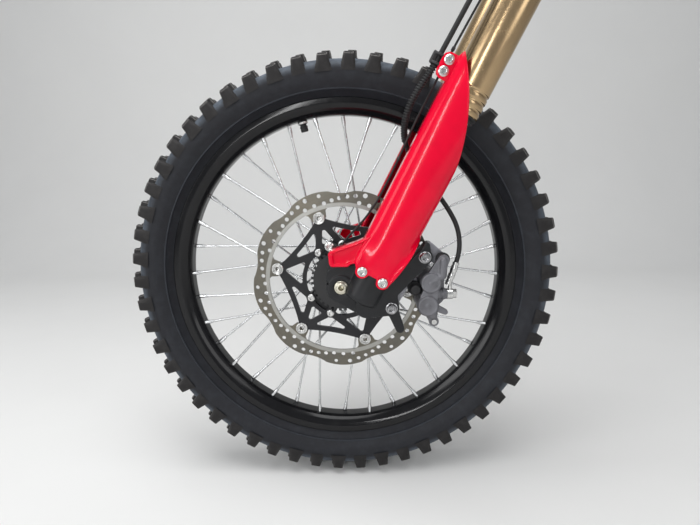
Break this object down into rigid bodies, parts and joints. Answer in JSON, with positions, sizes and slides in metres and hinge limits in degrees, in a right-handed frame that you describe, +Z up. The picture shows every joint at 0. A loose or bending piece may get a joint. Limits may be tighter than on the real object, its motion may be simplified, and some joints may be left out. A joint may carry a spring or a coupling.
{
  "type": "motorcycle front wheel and fork",
  "caption": "Front wheel and telescopic fork of a dual sport motorcycle, with knobbly tyre, wavy disc brake, fork guards and triple clamps that steer.",
  "frame": {"origin": "centre of the lower face of the lower head bearing race, on the steering axis", "axes": "+Z up, -X forward, -Y to the rider's left (brake side); the steering axis leans back 27.5 degrees"},
  "size_m": [0.7993, 0.2772, 1.0703],
  "materials": {
    "tyre_rubber": "matte, moulded",
    "rim_black": "gloss black anodised",
    "spoke_steel": "bright",
    "hub_black": "satin black",
    "disc_steel": "brushed",
    "bright_steel": "polished",
    "dark_steel": "dark",
    "fork_black": "satin black",
    "fork_gold": "gold anodised",
    "tube_chrome": "hard chrome",
    "guard_crimson": "gloss crimson",
    "caliper_grey": "matte cast",
    "bracket_grey": "matte cast",
    "pad_lining": "matt",
    "soft_rubber": "matt",
    "sensor_black": "matt",
    "zinc_bolt": "bright zinc"
  },
  "bodies": {
    "head_races": {"lower_race": "dark_steel", "upper_race": "dark_steel"},
    "fork": {"axle": "bright_steel", "axle_collars": "bright_steel", "axle_holder_left": "fork_black", "axle_holder_right": "fork_black", "inner_tube_left": "tube_chrome", "inner_tube_right": "tube_chrome", "outer_tube_left": "fork_gold", "outer_tube_right": "fork_gold", "dust_seals": "soft_rubber", "fork_caps": "fork_black", "guard_left": "guard_crimson", "guard_right": "guard_crimson", "flanged_bolts": "zinc_bolt", "caliper_body": "caliper_grey", "caliper_bracket": "bracket_grey", "caliper_bolts": "zinc_bolt", "slide_pins": "bright_steel", "pin_boots": "soft_rubber", "brake_pads": "pad_lining", "brake_hose": "soft_rubber", "hose_fittings": "zinc_bolt", "banjo_bolts": "zinc_bolt", "hose_clamp": "sensor_black", "speed_sensor": "sensor_black", "sensor_wire": "soft_rubber", "wire_connector": "sensor_black", "lower_clamp": "fork_black", "upper_clamp": "fork_black", "pinch_bolts": "zinc_bolt", "steering_stem": "dark_steel", "stem_nut": "bright_steel", "bearing_cones": "bright_steel"},
    "wheel": {"tyre": "tyre_rubber", "rim": "rim_black", "spokes": "spoke_steel", "hub": "hub_black", "hub_bearings": "bright_steel", "brake_disc": "disc_steel", "disc_carrier": "hub_black", "disc_buttons": "bright_steel", "disc_bolts": "zinc_bolt", "tone_ring": "dark_steel", "valve": "soft_rubber"}
  },
  "joints": [
    {"name": "steering", "type": "hinge", "parent": "head_races", "child": "fork", "pos_m": [0, 0, 0], "axis": [0.4617, 0, 0.887], "range_deg": [-42, 42]},
    {"name": "wheel_spin", "type": "hinge", "parent": "fork", "child": "wheel", "pos_m": [-0.34025, 0, -0.51284], "axis": [0, 1, 0], "continuous": true}
  ]
}
